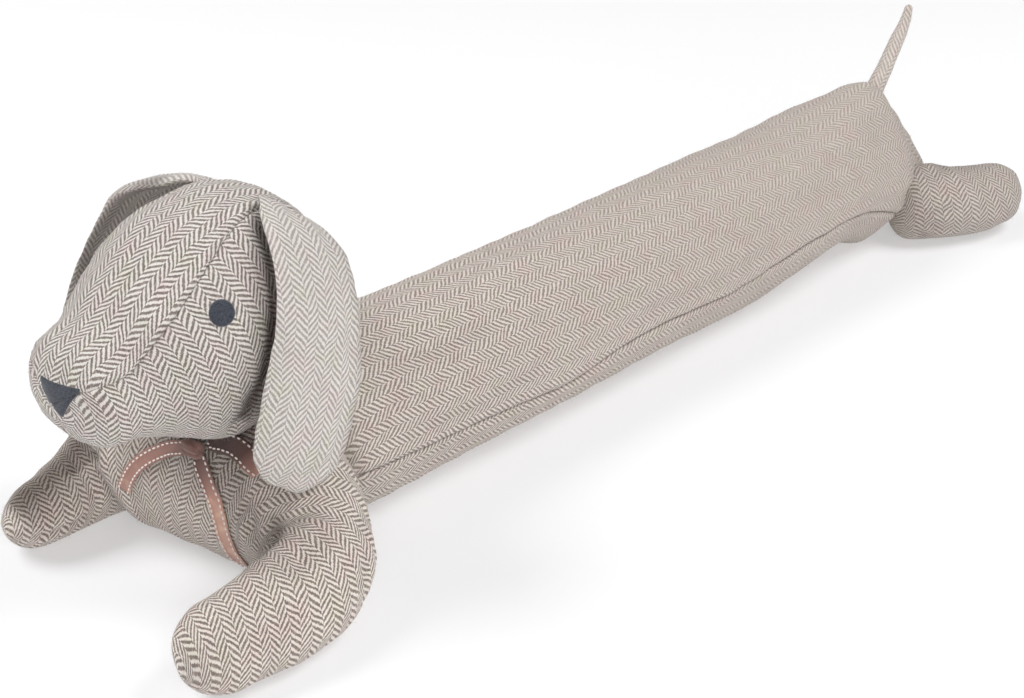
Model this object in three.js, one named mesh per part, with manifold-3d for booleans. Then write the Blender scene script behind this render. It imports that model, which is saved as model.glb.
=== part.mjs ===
// A draught excluder in the shape of a lying sausage dog, sewn from wool tweed and filled.
// Millimetres, +Z up. X runs along the body: the nose is towards -X and the tail towards +X.
// The dog's left side is -Y. The underside rests on z = 0.

import * as THREE from 'three';
import { mergeVertices } from 'three/addons/utils/BufferGeometryUtils.js';
import Module from 'manifold-3d';

const wasm = await Module();
wasm.setup();

// Driving dimensions

const GAP = 0.34;           // between pieces that are sewn together
const FELT = 1.5;           // thickness of the eyes and the nose
const EYE = { x: -430, y: 58, z: 207, radius: 8.2, sides: 24 };
const EYE_OUTWARD = { x: -0.35, y: 1, z: 0.3 };
const NOSE = { y: -7, halfWidth: 18, top: 176, point: 151 };
const RIDGE = { from: 240, to: 320, share: 0.55 };     // how the body's top narrows to the tail
const RIBBON = 1.2;         // thickness of the satin ribbon
const RIBBON_WIDTH = 13;
const GATHERED = 0.5;       // share of its width that a ribbon keeps where it leaves the knot
const PRISM = { front: -560, back: -390, long: 30 };   // reach of the blanks that small pieces are cut from
const END_STEPS = 4;        // sections in each rounded end
const MIDDLE = { x: -55, y: -12.84 };                  // of the whole dog, which the origin stands under

// Materials

const tweed = new THREE.MeshStandardMaterial({ color: 0xc2bab4, roughness: 0.95, metalness: 0 });
const felt = new THREE.MeshStandardMaterial({ color: 0x3c404a, roughness: 0.9, metalness: 0 });
const satin = new THREE.MeshStandardMaterial({ color: 0xa87c6c, roughness: 0.45, metalness: 0 });

// Filled forms: a smooth run of rounded sections along a curve, closed at both ends

function sectionPoint(angle, size, fullness, narrow) {
  const c = Math.cos(angle);
  const s = Math.sin(angle);
  const power = 2 / fullness;
  return {
    across: size.wide * Math.sign(c) * Math.abs(c) ** power * (1 - narrow * Math.max(s, 0)),
    up: size.tall * Math.sign(s) * Math.abs(s) ** power,
  };
}

// How far each section lies along the curve, and how much the rounded ends draw it in
function stationsAlong(length, ends, steps) {
  const stations = [];
  for (let i = 1; i < END_STEPS; i += 1) {
    const a = (Math.PI / 2) * (i / END_STEPS);
    stations.push({ s: ends[0] * (1 - Math.cos(a)), round: Math.sin(a) });
  }
  for (let i = 0; i <= steps; i += 1) {
    stations.push({ s: ends[0] + (length - ends[0] - ends[1]) * (i / steps), round: 1 });
  }
  for (let i = END_STEPS - 1; i > 0; i -= 1) {
    const a = (Math.PI / 2) * (i / END_STEPS);
    stations.push({ s: length - ends[1] * (1 - Math.cos(a)), round: Math.sin(a) });
  }
  return stations;
}

// Rings of equal size joined to each other, with a point at each end
function closeRings(vertices, rings, sides) {
  const faces = [];
  const last = vertices.length / 3 - 1;
  const end = 1 + (rings - 1) * sides;
  for (let k = 0; k < sides; k += 1) {
    const next = (k + 1) % sides;
    faces.push(0, 1 + next, 1 + k);
    for (let a = 1; a < end; a += sides) {
      const b = a + sides;
      faces.push(a + k, a + next, b + next, a + k, b + next, b + k);
    }
    faces.push(last, end + k, end + next);
  }
  const geometry = new THREE.BufferGeometry();
  geometry.setAttribute('position', new THREE.Float32BufferAttribute(vertices, 3));
  geometry.setIndex(faces);
  return geometry;
}

// Moves every point of a closed form out along its surface
function swell(geometry, distance) {
  geometry.computeVertexNormals();
  const position = geometry.getAttribute('position');
  const normal = geometry.getAttribute('normal');
  for (let i = 0; i < position.count; i += 1) {
    const p = new THREE.Vector3().fromBufferAttribute(position, i);
    p.addScaledVector(new THREE.Vector3().fromBufferAttribute(normal, i), distance);
    position.setXYZ(i, p.x, p.y, p.z);
  }
  return geometry;
}

// rows: x, y, z of each section's middle, its half sizes wide and tall, and its lean in degrees.
// ends: how long the rounded stretch is at each end. flat: the form is flattened where it meets z = 0.
// narrow: the share of its width that a section loses at its top, as a function of x.
function loft(rows, options) {
  const { ends, steps, sides, fullness = 2, grow = 0, facing = [0, 0, 1], bend = 0, flat = false } = options;
  const { narrow = () => 0 } = options;
  const middle = new THREE.CatmullRomCurve3(rows.map((r) => new THREE.Vector3(r.x, r.y, r.z)));
  const sizes = new THREE.CatmullRomCurve3(rows.map((r) => new THREE.Vector3(r.wide, r.tall, r.lean ?? 0)));
  const length = middle.getLength();
  const reference = new THREE.Vector3(...facing).normalize();
  const stations = stationsAlong(length, ends, steps);
  const vertices = [];
  const push = (p) => vertices.push(p.x, p.y, flat ? Math.max(p.z, 0) : p.z);
  push(middle.getPoint(0));
  for (const station of stations) {
    const t = middle.getUtoTmapping(station.s / length);
    const centre = middle.getPoint(t);
    const along = middle.getTangent(t);
    const size = sizes.getPoint(t);
    const across = new THREE.Vector3().crossVectors(reference, along).normalize();
    const up = new THREE.Vector3().crossVectors(along, across).normalize();
    const lean = THREE.MathUtils.degToRad(size.z);
    across.applyAxisAngle(along, lean);
    up.applyAxisAngle(along, lean);
    const half = { wide: size.x * station.round, tall: size.y * station.round };
    for (let k = 0; k < sides; k += 1) {
      const q = sectionPoint((2 * Math.PI * k) / sides, half, fullness, narrow(centre.x));
      const curl = bend * (q.across / half.wide) ** 2 * station.round;
      push(centre.clone().addScaledVector(across, q.across).addScaledVector(up, q.up - curl));
    }
  }
  push(middle.getPoint(1));
  const geometry = closeRings(vertices, stations.length, sides);
  return grow > 0 ? swell(geometry, grow) : geometry;
}

// Cutting and joining closed forms

function toSolid(geometry) {
  const bare = geometry.clone();
  bare.deleteAttribute('normal');
  bare.deleteAttribute('uv');
  const merged = mergeVertices(bare, 1e-4);
  const mesh = new wasm.Mesh({
    numProp: 3,
    vertProperties: new Float32Array(merged.getAttribute('position').array),
    triVerts: new Uint32Array(merged.getIndex().array),
  });
  return new wasm.Manifold(mesh);
}

function toGeometry(solid) {
  const mesh = solid.getMesh();
  const geometry = new THREE.BufferGeometry();
  geometry.setAttribute('position', new THREE.Float32BufferAttribute(mesh.vertProperties, 3));
  geometry.setIndex(Array.from(mesh.triVerts));
  return geometry;
}

function cut(geometry, ...tools) {
  let solid = toSolid(geometry);
  for (const tool of tools) solid = solid.subtract(toSolid(tool));
  return toGeometry(solid);
}

// A strip or patch that lies on a form: the prism's part between two grown copies of the form
function layer(prism, form, near, far) {
  return toGeometry(toSolid(prism).intersect(toSolid(form(far))).subtract(toSolid(form(near))));
}

// Body: a round tube that arches a little off the floor before the rump. Its top rises to a ridge at
// the tail and slopes down from there.

function body(grow = 0) {
  const rows = [
    { x: -352, y: 0, z: 60, wide: 58, tall: 60 },
    { x: -300, y: 0, z: 61, wide: 65, tall: 64 },
    { x: -150, y: 0, z: 60, wide: 65, tall: 63 },
    { x: 0, y: 0, z: 60, wide: 64, tall: 63 },
    { x: 100, y: 0, z: 60, wide: 64, tall: 63.5 },
    { x: 165, y: 0, z: 64, wide: 62.5, tall: 60 },
    { x: 222, y: 0, z: 69, wide: 60, tall: 57 },
    { x: 262, y: 0, z: 67, wide: 58, tall: 62.5 },
    { x: 292, y: 0, z: 63, wide: 57, tall: 70 },
    { x: 318, y: 0, z: 57, wide: 50, tall: 52 },
    { x: 342, y: 0, z: 47, wide: 43, tall: 40 },
    { x: 362, y: 0, z: 32, wide: 34, tall: 31 },
  ];
  const narrow = (x) => RIDGE.share * THREE.MathUtils.clamp((x - RIDGE.from) / (RIDGE.to - RIDGE.from), 0, 1);
  return loft(rows, { ends: [30, 12], steps: 26, sides: 28, flat: true, narrow, grow });
}

// Front legs: one crescent cushion that is the chest in the middle and a paw at each end

function frontLegs(grow = 0) {
  const rows = [
    { x: -505, y: 87, z: 22, wide: 17, tall: 22, lean: 34 },
    { x: -480, y: 88, z: 24, wide: 20, tall: 25, lean: 34 },
    { x: -448, y: 90, z: 29, wide: 25, tall: 32, lean: 32 },
    { x: -418, y: 86, z: 39, wide: 33, tall: 41, lean: 24 },
    { x: -402, y: 60, z: 49, wide: 43, tall: 51, lean: 10 },
    { x: -390, y: 24, z: 55, wide: 46, tall: 57, lean: 2 },
    { x: -384, y: -24, z: 55, wide: 46, tall: 57, lean: 2 },
    { x: -384, y: -66, z: 48, wide: 42, tall: 49, lean: 10 },
    { x: -398, y: -101, z: 37, wide: 31, tall: 37, lean: 24 },
    { x: -432, y: -117, z: 32, wide: 26, tall: 34, lean: 32 },
    { x: -480, y: -117, z: 29, wide: 22, tall: 30, lean: 34 },
    { x: -524, y: -116, z: 27, wide: 19, tall: 27, lean: 34 },
  ];
  return loft(rows, { ends: [26, 32], steps: 40, sides: 20, fullness: 2.2, flat: true, grow });
}

// Head: broad at the cheeks and drawn in to the snout, which turns a little to the left

function head(grow = 0) {
  const rows = [
    { x: -312, y: 0, z: 177, wide: 56, tall: 54 },
    { x: -340, y: 0, z: 177, wide: 67, tall: 66 },
    { x: -385, y: -1, z: 176, wide: 70, tall: 78 },
    { x: -420, y: -3, z: 172, wide: 67.5, tall: 76 },
    { x: -450, y: -4, z: 168, wide: 57.5, tall: 60 },
    { x: -480, y: -4.5, z: 163, wide: 44.5, tall: 41 },
    { x: -519, y: -5.5, z: 158.5, wide: 39, tall: 31.5 },
  ];
  return loft(rows, { ends: [44, 22], steps: 14, sides: 28, fullness: 2.1, grow });
}

// Ears: long soft flaps that hang from the crown over the cheeks

// Their rows, as if both were on the same side: the far ear stands further out
const earRows = {
  left: [
    { x: -360, y: 26, z: 240, wide: 18, tall: 4 },
    { x: -365, y: 50, z: 243, wide: 21, tall: 4.5 },
    { x: -372, y: 72, z: 230, wide: 25, tall: 4.5 },
    { x: -378, y: 86, z: 204, wide: 29, tall: 5 },
    { x: -387, y: 92, z: 165, wide: 34, tall: 5 },
    { x: -401, y: 95, z: 125, wide: 35, tall: 5 },
    { x: -414, y: 95, z: 92, wide: 24, tall: 4 },
  ],
  right: [
    { x: -360, y: 26, z: 240, wide: 18, tall: 4 },
    { x: -366, y: 50, z: 239, wide: 21, tall: 4.5 },
    { x: -373, y: 84, z: 226, wide: 25, tall: 4.5 },
    { x: -382, y: 99, z: 200, wide: 29, tall: 5 },
    { x: -393, y: 109, z: 161, wide: 34, tall: 5 },
    { x: -404, y: 113, z: 122, wide: 35, tall: 5 },
    { x: -414, y: 113, z: 89, wide: 24, tall: 4 },
  ],
};

function ear(name, side) {
  const placed = earRows[name].map((r) => ({ ...r, y: side * r.y }));
  return loft(placed, { ends: [10, 18], steps: 13, sides: 14, facing: [0, side, 0.35], bend: 3 });
}

// Hind legs: mittens that point out and back from the rump's lower corners

function hindLeg(side) {
  const rows = [
    { x: 304, y: 32, z: 34, wide: 26, tall: 33 },
    { x: 336, y: 56, z: 31, wide: 32, tall: 31 },
    { x: 368, y: 73, z: 28, wide: 32, tall: 28 },
    { x: 413, y: 90, z: 32, wide: 20.5, tall: 23.5 },
  ];
  const placed = rows.map((r) => ({ ...r, y: side * r.y }));
  return loft(placed, { ends: [20, 26], steps: 8, sides: 20, flat: true });
}

// Tail: a thin cone that leans back

function tail() {
  const rows = [
    { x: 306, y: 0, z: 102, wide: 9, tall: 9 },
    { x: 317, y: 0, z: 123, wide: 7.5, tall: 7.5 },
    { x: 332, y: 0, z: 143, wide: 6.6, tall: 6.6 },
    { x: 343, y: 0, z: 158, wide: 6, tall: 6 },
    { x: 354, y: 0, z: 175, wide: 4.5, tall: 4.5 },
    { x: 358, y: 0, z: 187, wide: 3.2, tall: 3.2 },
  ];
  return loft(rows, { ends: [3, 4], steps: 8, sides: 12, facing: [1, 0, 0] });
}

// Felt eyes and nose, which lie on the head

function eye(side) {
  const prism = new THREE.CylinderGeometry(EYE.radius, EYE.radius, PRISM.long, EYE.sides);
  const outward = new THREE.Vector3(EYE_OUTWARD.x, side * EYE_OUTWARD.y, EYE_OUTWARD.z).normalize();
  prism.applyQuaternion(new THREE.Quaternion().setFromUnitVectors(new THREE.Vector3(0, 1, 0), outward));
  prism.translate(EYE.x, side * EYE.y, EYE.z);
  return layer(prism, head, GAP, GAP + FELT);
}

// A flat outline in the y and z directions, drawn out along x
function prismAlongX(outline) {
  const depth = PRISM.back - PRISM.front;
  const prism = new THREE.ExtrudeGeometry(new THREE.Shape(outline), { depth, bevelEnabled: false });
  const axes = [new THREE.Vector3(0, 1, 0), new THREE.Vector3(0, 0, 1), new THREE.Vector3(1, 0, 0)];
  prism.applyMatrix4(new THREE.Matrix4().makeBasis(...axes));
  prism.translate(PRISM.front, 0, 0);
  return prism;
}

function nose() {
  const { y, halfWidth, top, point } = NOSE;
  const corners = [[y - halfWidth, top], [y, point], [y + halfWidth, top]];
  const outline = corners.map(([across, up]) => new THREE.Vector2(across, up));
  return layer(prismAlongX(outline), head, GAP, GAP + FELT);
}

// Ribbon: a half bow of satin that lies on the chest below the chin

// A strip along a few points, seen from the front as y and z, and narrower where it leaves the knot
function stripOutline(points, width) {
  const route = new THREE.CatmullRomCurve3(points.map(([y, z]) => new THREE.Vector3(y, z, 0)));
  const steps = 4 * (points.length - 1);
  const left = [];
  const right = [];
  for (let i = 0; i <= steps; i += 1) {
    const p = route.getPoint(i / steps);
    const along = route.getTangent(i / steps);
    const half = (i === 0 ? GATHERED * width : width) / 2;
    left.push(new THREE.Vector2(p.x - along.y * half, p.y + along.x * half));
    right.push(new THREE.Vector2(p.x + along.y * half, p.y - along.x * half));
  }
  return [...left, ...right.reverse()];
}

function ribbonKnot(grow = 0) {
  const rows = [
    { x: -427, y: -25, z: 96, wide: 7, tall: 7 },
    { x: -428, y: -17, z: 96, wide: 6, tall: 6 },
    { x: -427, y: -9, z: 96, wide: 7, tall: 7 },
  ];
  return loft(rows, { ends: [3, 3], steps: 4, sides: 12, grow });
}

function ribbonStrip({ points, width, layers }) {
  const strip = layer(prismAlongX(stripOutline(points, width)), frontLegs, GAP, GAP + layers * RIBBON);
  return cut(strip, head(GAP), ribbonKnot(GAP));
}

// points: y and z along the middle of each strip, from the knot outwards
const ribbonStrips = [
  {
    name: 'ribbon_tail_near',
    points: [[-18, 90], [-33, 70], [-43, 46], [-53, 20]],
    width: RIBBON_WIDTH,
    layers: 1,
  },
  {
    name: 'ribbon_tail_far',
    points: [[-10, 94], [14, 86], [34, 69], [49, 46]],
    width: RIBBON_WIDTH,
    layers: 1,
  },
  {
    name: 'ribbon_loop',
    points: [[-27, 100], [-42, 99], [-61, 92]],
    width: 1.1 * RIBBON_WIDTH,
    layers: 2,
  },
];

// The dog, piece by piece

const pieces = [];

function add(name, geometry, material) {
  const mesh = new THREE.Mesh(geometry, material);
  mesh.name = name;
  pieces.push(mesh);
}

add('body', cut(body(), frontLegs(GAP)), tweed);
add('front_legs', frontLegs(), tweed);
add('head', cut(head(), body(GAP), frontLegs(GAP)), tweed);
for (const [name, side] of [['left', -1], ['right', 1]]) {
  add(`ear_${name}`, cut(ear(name, side), head(GAP)), tweed);
  add(`hind_leg_${name}`, cut(hindLeg(side), body(GAP)), tweed);
  add(`eye_${name}`, eye(side), felt);
}
add('tail', cut(tail(), body(GAP)), tweed);
add('nose', nose(), felt);
for (const strip of ribbonStrips) add(strip.name, ribbonStrip(strip), satin);
add('ribbon_knot', cut(ribbonKnot(), frontLegs(GAP), head(GAP)), satin);

const dog = new THREE.Group();
dog.add(...pieces);
dog.position.set(-MIDDLE.x, -MIDDLE.y, 0);

export default dog;
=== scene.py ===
"""The looks of a draught excluder in the shape of a lying sausage dog: filled wool tweed, felt and satin.

Lengths in the tables are millimetres in the dog's own frame: x along the body with the nose towards -x,
the dog's left side is -y, and the underside rests on z = 0. place() turns them into metres in the row frame.
"""

import math

import bpy
import numpy as np
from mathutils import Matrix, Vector
from mathutils.bvhtree import BVHTree


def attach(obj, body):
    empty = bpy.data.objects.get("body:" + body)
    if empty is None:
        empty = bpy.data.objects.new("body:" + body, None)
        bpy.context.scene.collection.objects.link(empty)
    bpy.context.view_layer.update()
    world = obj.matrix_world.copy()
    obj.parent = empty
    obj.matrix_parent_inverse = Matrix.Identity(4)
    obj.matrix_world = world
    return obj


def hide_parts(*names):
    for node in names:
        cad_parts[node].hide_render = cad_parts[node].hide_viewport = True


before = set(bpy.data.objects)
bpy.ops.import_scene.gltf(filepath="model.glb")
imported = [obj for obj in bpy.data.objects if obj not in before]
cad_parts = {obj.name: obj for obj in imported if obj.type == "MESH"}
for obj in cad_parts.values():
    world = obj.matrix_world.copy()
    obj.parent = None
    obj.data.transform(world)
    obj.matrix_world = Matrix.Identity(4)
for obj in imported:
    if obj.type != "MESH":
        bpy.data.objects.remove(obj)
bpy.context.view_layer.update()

MM = 0.001
MIDDLE = np.array([-55.0, -12.84, 0.0])      # the dog's middle, which the row frame's origin stands under
CAMERA_AT = np.array([-1143.0, -986.0, 798.0])
CAMERA_AZIMUTH = -46.0
CAMERA_ELEVATION = 28.0
CAMERA_LENS = 77.34
CAMERA_SENSOR = 36.0

YARN = 1.04                # one thread of the tweed
COLUMN_YARNS = 7           # threads across one herringbone column
TWILL_YARNS = 4.0          # threads in one repeat of a column's strokes
FELT = 1.6
RIBBON_WIDTH = 13.0
RIBBON_THICK = 0.5
STITCH_PITCH = 3.8
STITCH_HALF = 1.2
STITCH_RADIUS = 0.62
STITCH_INSET = 1.7         # from the ribbon's edge
STITCH_LIFT = 0.3          # from the ribbon's face
IN_FRONT = -560.0          # x of a place in front of the dog, from where rays are sent to its cloth
SEED = 7


def place(points):
    """Dog frame in millimetres to row frame in metres."""
    return (np.asarray(points, float) - MIDDLE) * MM


# Curves and noise

def unit(v):
    return v / np.linalg.norm(v, axis=-1, keepdims=True)


def run_along(line):
    """Distance from a line's first point to each of its points."""
    return np.concatenate([[0], np.cumsum(np.linalg.norm(np.diff(line, axis=0), axis=1))])


def curve_at(points, t):
    """A centripetal Catmull-Rom curve through the points, at t from 0 to 1."""
    p = np.asarray(points, float)
    p = np.vstack([2 * p[0] - p[1], p, 2 * p[-1] - p[-2]])
    spans = len(p) - 3
    at = np.clip(np.asarray(t, float), 0, 1) * spans
    i = np.minimum(at.astype(int), spans - 1)
    w = (at - i)[:, None]
    a, b, c, d = p[i], p[i + 1], p[i + 2], p[i + 3]
    step = [np.linalg.norm(q - r, axis=1, keepdims=True) ** 0.5 for q, r in ((b, a), (c, b), (d, c))]
    mid = np.where(step[1] < 1e-4, 1.0, step[1])
    first = np.where(step[0] < 1e-4, mid, step[0])
    last = np.where(step[2] < 1e-4, mid, step[2])
    m1 = ((b - a) / first - (c - a) / (first + mid) + (c - b) / mid) * mid
    m2 = ((c - b) / mid - (d - b) / (mid + last) + (d - c) / last) * mid
    return b + m1 * w + (-3 * b + 3 * c - 2 * m1 - m2) * w ** 2 + (2 * b - 2 * c + m1 + m2) * w ** 3


WAVES = 28


def ripple(points, wavelength, seed):
    """Smooth noise about zero: a sum of sine waves in random directions."""
    rng = np.random.default_rng(seed)
    direction = unit(rng.normal(size=(WAVES, 3)))
    frequency = 2 * np.pi / (wavelength * rng.uniform(0.7, 1.6, WAVES))
    phase = rng.uniform(0, 2 * np.pi, WAVES)
    total = np.zeros(len(points))
    for n in range(WAVES):
        total += np.sin(points @ direction[n] * frequency[n] + phase[n])
    return total / np.sqrt(WAVES)


def smooth(a, b, x):
    """0 before a, 1 after b, and a soft rise between them."""
    t = np.clip((x - a) / (b - a), 0, 1)
    return t * t * (3 - 2 * t)


def distance_to(points, path):
    """How far each point is from a path of straight stretches, and how far along the path, from 0 to 1."""
    path = np.asarray(path, float)
    best = np.full(len(points), 1e9)
    along = np.zeros(len(points))
    for n in range(len(path) - 1):
        a, ab = path[n], path[n + 1] - path[n]
        t = np.clip((points - a) @ ab / (ab @ ab), 0, 1)
        d = np.linalg.norm(points - a - t[:, None] * ab, axis=1)
        nearer = d < best
        best[nearer] = d[nearer]
        along[nearer] = (n + t[nearer]) / (len(path) - 1)
    return best, along


def bell(x, width):
    return np.exp(-((x / width) ** 2))


SHOULDER = 0.35            # height of the swellings beside a crease, as a share of its depth
SHOULDER_AT = 2.1          # how far they are from its middle, as a share of its width
SEAM_WIDTH = 1.1
# the uneven filling: height and wavelength of the broad lumps and of the fine lumps, and a seed
LUMPS = {
    "body": (0.9, 46, 0.35, 17, SEED),
    "front_legs": (0.8, 40, 0.3, 15, SEED + 2),
    "head": (0.6, 44, 0.25, 15, SEED + 4),
    "ear": (0.7, 38, 0.25, 14, SEED + 6),
    "hind_leg": (0.6, 34, 0.25, 13, SEED + 8),
}
BODY_STRETCH = np.array([0.35, 1, 1])     # the body's broad lumps are drawn out along it


def crease(points, path, depth, width):
    """A soft trough along a path that fades at both ends, with a low swelling on each side."""
    d, along = distance_to(points, path)
    fade = smooth(0, 0.25, along) * smooth(0, 0.25, 1 - along)
    return depth * fade * (SHOULDER * bell(d - SHOULDER_AT * width, width) - bell(d, width))


def seam_groove(points, seam, depth, swell, swell_at, swell_width):
    """A narrow sewn groove with a swelling along each side of it."""
    d, _ = distance_to(points, seam)
    return swell * bell(d - swell_at, swell_width) - depth * bell(d, SEAM_WIDTH)


def dent(points, middle, radii, depth):
    """A rounded hollow about a place."""
    return -depth * bell(np.linalg.norm((points - middle) / radii, axis=1), 1)


def lumps(points, piece, stretch=1):
    broad, broad_wave, fine, fine_wave, seed = LUMPS[piece]
    return broad * ripple(points * stretch, broad_wave, seed) + fine * ripple(points, fine_wave, seed + 1)


# Filled forms

END_RINGS = 14
CLOSENESS = 0.6            # how strongly a panel's points crowd towards its seams, from 0 to 1


def stations_along(length, ends, steps):
    """Places of the rings along a form, and each ring's share of the full size, which the ends round off."""
    a = np.pi / 2 * np.arange(1, END_RINGS) / END_RINGS
    start = ends[0] * (1 - np.cos(a))
    finish = length - ends[1] * (1 - np.cos(a))
    middle = np.linspace(ends[0], length - ends[1], steps + 1)
    s = np.concatenate([start, middle, finish[::-1]])
    draw = np.concatenate([np.sin(a), np.ones(steps + 1), np.sin(a)[::-1]])
    return s, draw


def closer_at_ends(count):
    """Shares of a panel's width, from 0 and short of 1, that lie closer together next to its seams."""
    t = np.arange(count) / count
    return t - CLOSENESS * np.sin(2 * np.pi * t) / (2 * np.pi)


class Loft:
    """A grid of points on a closed form: rings along a curve, with a point at each end.

    rows: x, y, z of each section's middle, its half sizes wide and tall, and its lean in degrees.
    ends: how far from its two ends the form is rounded. steps: how many rings lie between.
    borders(x) gives the angles, in degrees, at which the cloth's panels meet, and shares says how many
    of a ring's points each panel gets.
    fullness: 2 is an ellipse, and more is squarer. facing: which way its upper side faces.
    bend: how far its two edges hang down. flat: whether it rests on the floor.
    ridge: the x where its upper side starts and ends to narrow, and by what share.
    """

    def __init__(self, rows, ends, steps, shares, borders, fullness=2.0, facing=(0, 0, 1), bend=0.0,
                 flat=False, ridge=None):
        rows = np.array([list(r) + [0.0] * (6 - len(r)) for r in rows])
        dense = np.linspace(0, 1, 3001)
        line = curve_at(rows[:, :3], dense)
        run = run_along(line)
        self.s, draw = stations_along(run[-1], ends, steps)
        t = np.interp(self.s, run, dense)
        self.centre = curve_at(rows[:, :3], t)
        size = curve_at(rows[:, 3:6], t)
        along = unit(curve_at(rows[:, :3], t + 1e-4) - curve_at(rows[:, :3], t - 1e-4))
        across = unit(np.cross(unit(np.array(facing, float)), along))
        up = np.cross(along, across)
        lean = np.radians(size[:, 2:3])
        self.across = across * np.cos(lean) + np.cross(along, across) * np.sin(lean)
        self.up = up * np.cos(lean) + np.cross(along, up) * np.sin(lean)
        self.size, self.draw, self.bend, self.flat, self.fullness = size, draw, bend, flat, fullness
        self.shares = shares
        self.narrow = np.zeros(len(self.s))
        if ridge:
            first, last, share = ridge
            self.narrow = share * np.clip((self.centre[:, 0] - first) / (last - first), 0, 1)
        self.sides = sum(shares)
        angle = []
        for x in self.centre[:, 0]:
            edge = list(borders(x))
            edge.append(edge[0] + 360.0)
            parts = [edge[n] + (edge[n + 1] - edge[n]) * closer_at_ends(share)
                     for n, share in enumerate(shares)]
            angle.append(np.concatenate(parts))
        self.angle = np.radians(np.array(angle))
        self.grid = self.points()
        self.tips = rows[[0, -1], :3].copy()
        self.shade = np.zeros((len(self.s), self.sides))

    def points(self):
        """Places of the grid's points, ring by ring."""
        c, s = np.cos(self.angle), np.sin(self.angle)
        power = 2 / self.fullness
        wide = (self.size[:, 0] * self.draw)[:, None]
        tall = (self.size[:, 1] * self.draw)[:, None]
        qa = wide * np.sign(c) * np.abs(c) ** power * (1 - self.narrow[:, None] * np.maximum(s, 0))
        qu = tall * np.sign(s) * np.abs(s) ** power
        qu = qu - self.bend * (qa / np.maximum(wide, 1e-6)) ** 2 * self.draw[:, None]
        p = self.centre[:, None] + qa[..., None] * self.across[:, None] + qu[..., None] * self.up[:, None]
        if self.flat:
            p[..., 2] = np.maximum(p[..., 2], 0)
        return p

    def normals(self):
        around = np.roll(self.grid, -1, axis=1) - np.roll(self.grid, 1, axis=1)
        run = np.gradient(self.grid, axis=0)
        n = np.cross(around, run)
        n /= np.linalg.norm(n, axis=2, keepdims=True) + 1e-12
        outward = self.grid - self.centre[:, None]
        return np.where((n * outward).sum(2).sum() < 0, -n, n)

    def displace(self, distance):
        """Moves every point along its normal by distance(points, s), keeping the flat underside flat."""
        shape = self.grid.shape
        flat_points = self.grid.reshape(-1, 3)
        s = np.repeat(self.s, self.sides)
        moved = flat_points + self.normals().reshape(-1, 3) * distance(flat_points, s)[:, None]
        if self.flat:
            moved[:, 2] = np.maximum(moved[:, 2], 0)
        self.grid = moved.reshape(shape)

    def paint_shade(self, path, width, amount):
        """Paints shade into the cloth's colour near a path: in a seam, a fold or a gap, or where another
        piece keeps the light away.
        """
        d, along = distance_to(self.grid.reshape(-1, 3), path)
        fade = smooth(0, 0.12, along) * smooth(0, 0.12, 1 - along)
        near = (amount * fade * bell(d, width)).reshape(self.shade.shape)
        self.shade = np.maximum(self.shade, near)

    def girth(self):
        """Distance round the form from each panel's first border, at every ring."""
        closed = np.concatenate([self.grid, self.grid[:, :1]], axis=1)
        step = np.linalg.norm(np.diff(closed, axis=1), axis=2)
        return np.concatenate([np.zeros((len(self.s), 1)), np.cumsum(step, axis=1)], axis=1)

    def mesh(self, name, charts):
        """The mesh, with its cloth coordinates in the weave attribute. charts has one function for each
        panel, which takes the distance along and the distance round from the panel's middle."""
        rings, sides = len(self.s), self.sides
        verts = np.vstack([self.tips[:1], self.grid.reshape(-1, 3), self.tips[1:]])
        last = len(verts) - 1
        girth = self.girth()
        lengthwise = np.linalg.norm(np.diff(self.grid, axis=0), axis=2).mean(1)
        surface_run = np.concatenate([[0], np.cumsum(lengthwise)])
        faces, weave = [], []
        starts = np.concatenate([[0], np.cumsum(self.shares)])
        for panel, chart in enumerate(charts):
            k0, k1 = starts[panel], starts[panel + 1]
            middle = (girth[:, k0] + girth[:, k1])[:, None] / 2
            round_from = girth[:, k0:k1 + 1] - middle
            run = np.repeat(surface_run[:, None], k1 - k0 + 1, axis=1)
            u, v = chart(run, round_from)

            def corner(r, j):
                return u[r, j], v[r, j], self.shade[r, (k0 + j) % sides]

            for k in range(k0, k1):
                n = (k + 1) % sides
                j = k - k0
                faces.append((0, 1 + n, 1 + k))
                weave += [corner(0, j), corner(0, j + 1), corner(0, j)]
                for r in range(rings - 1):
                    a, b = 1 + r * sides, 1 + (r + 1) * sides
                    faces.append((a + k, a + n, b + n, b + k))
                    weave += [corner(r, j), corner(r, j + 1), corner(r + 1, j + 1), corner(r + 1, j)]
                a = 1 + (rings - 1) * sides
                faces.append((last, a + k, a + n))
                weave += [corner(rings - 1, j), corner(rings - 1, j), corner(rings - 1, j + 1)]
        return build(name, verts, faces, weave)


def add_object(name, data):
    obj = bpy.data.objects.new(name, data)
    bpy.context.scene.collection.objects.link(obj)
    return obj


def build(name, verts, faces, weave=None):
    """An object from points in the dog frame, with a cloth coordinate for each corner of its faces."""
    mesh = bpy.data.meshes.new(name)
    mesh.from_pydata(place(verts).tolist(), [], faces)
    if weave is not None:
        layer = mesh.attributes.new("weave", "FLOAT_VECTOR", "CORNER")
        layer.data.foreach_set("vector", np.array(weave, np.float32).ravel())
    mesh.shade_smooth()
    mesh.update()
    return add_object(name, mesh)


def grain(angle, u0=0.0, v0=0.0):
    """A chart whose columns run at an angle, in degrees, to the form's length."""
    c, s = math.cos(math.radians(angle)), math.sin(math.radians(angle))
    return lambda run, across: (u0 + c * across - s * run, v0 + s * across + c * run)


# Materials

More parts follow.
